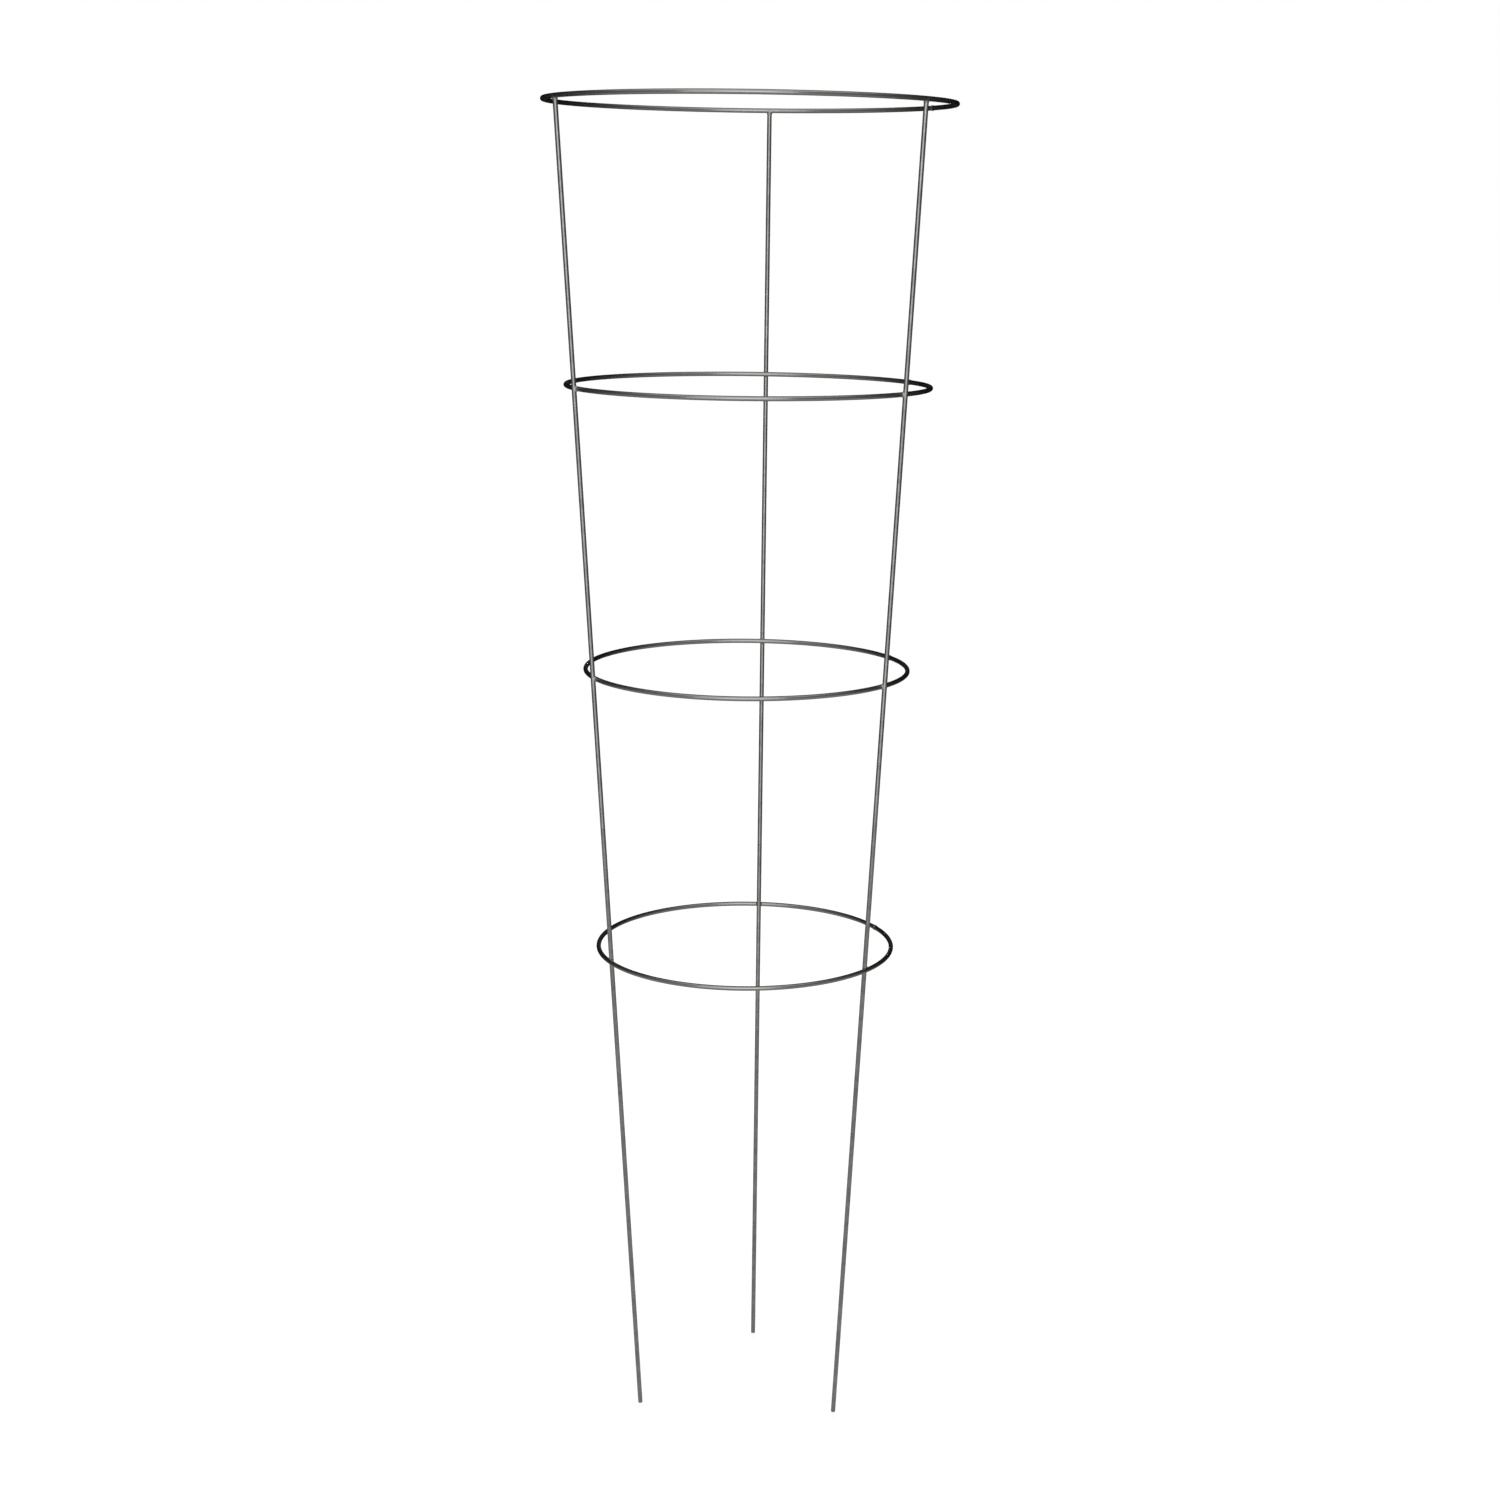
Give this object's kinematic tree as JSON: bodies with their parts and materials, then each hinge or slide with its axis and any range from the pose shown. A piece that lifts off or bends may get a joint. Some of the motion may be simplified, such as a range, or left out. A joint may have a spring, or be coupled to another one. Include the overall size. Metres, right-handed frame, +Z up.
{
  "type": "tomato cage",
  "caption": "Tapered welded wire plant support: straight prong legs lean outward to carry round hoops that hold up a growing plant.",
  "frame": {"origin": "on the cage's axis, at the level of the ground that the leg ends stand on", "axes": "+Z up along the cage's axis, +Y towards the back leg, +X to the right of a viewer in front"},
  "size_m": [0.4064, 0.4073, 1.3594],
  "materials": {
    "galvanised_wire": "galvanised drawn wire, satin grey",
    "weld_metal": "dull heat-marked weld metal under zinc"
  },
  "bodies": {
    "root": {"top_ring": "galvanised_wire", "upper_ring": "galvanised_wire", "middle_ring": "galvanised_wire", "bottom_ring": "galvanised_wire", "back_leg": "galvanised_wire", "left_leg": "galvanised_wire", "right_leg": "galvanised_wire", "top_back_weld": "weld_metal", "top_left_weld": "weld_metal", "top_right_weld": "weld_metal", "upper_back_weld": "weld_metal", "upper_left_weld": "weld_metal", "upper_right_weld": "weld_metal", "middle_back_weld": "weld_metal", "middle_left_weld": "weld_metal", "middle_right_weld": "weld_metal", "bottom_back_weld": "weld_metal", "bottom_left_weld": "weld_metal", "bottom_right_weld": "weld_metal", "top_ring_seam": "weld_metal", "upper_ring_seam": "weld_metal", "middle_ring_seam": "weld_metal", "bottom_ring_seam": "weld_metal"}
  },
  "joints": []
}
